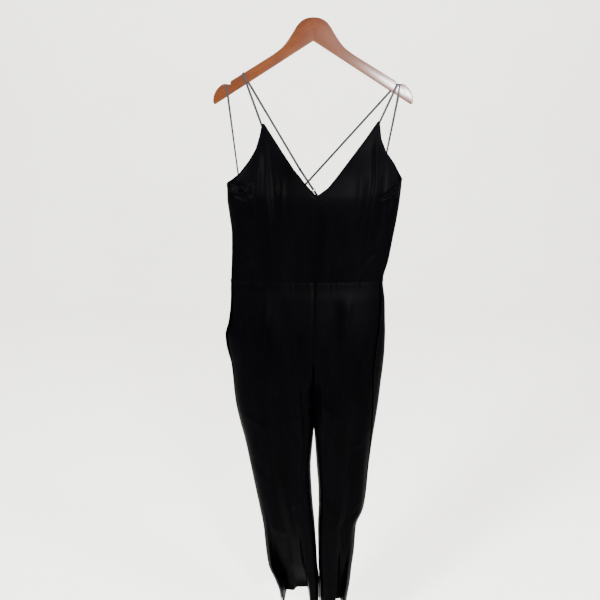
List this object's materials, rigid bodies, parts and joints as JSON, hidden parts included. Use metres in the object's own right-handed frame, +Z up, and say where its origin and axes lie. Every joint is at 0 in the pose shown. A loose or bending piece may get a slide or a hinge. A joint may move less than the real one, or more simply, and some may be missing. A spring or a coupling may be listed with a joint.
{
  "type": "velvet jumpsuit on a wooden hanger",
  "caption": "Long V-necked velvet jumpsuit with narrow crossed back straps, hung flat on a flat wooden hanger.",
  "frame": {"origin": "apex of the hanger's underside, half way through the wood, where a stand's pole bears", "axes": "+X towards the viewer's right as the front is seen, +Y from the front to the back, +Z up"},
  "size_m": [0.4452, 0.1048, 1.5139],
  "materials": {
    "velvet": "black stretch velvet with a soft pile",
    "strap_cloth": "narrow black ribbon with a slight sheen",
    "black_metal": "black lacquered",
    "light_wood": "glossy clear varnish",
    "dark_wood": "glossy clear varnish"
  },
  "bodies": {
    "root": {"bodice_front": "velvet", "bodice_back": "velvet", "trouser_front_left": "velvet", "trouser_front_right": "velvet", "trouser_back_left": "velvet", "trouser_back_right": "velvet", "pocket_left": "velvet", "pocket_right": "velvet", "strap_left": "strap_cloth", "strap_right": "strap_cloth", "tab_left": "strap_cloth", "tab_right": "strap_cloth", "loop_left": "strap_cloth", "loop_right": "strap_cloth", "ring_left": "black_metal", "ring_right": "black_metal", "slider_left": "black_metal", "slider_right": "black_metal", "hanger_left": "light_wood", "hanger_right": "dark_wood"}
  },
  "joints": []
}
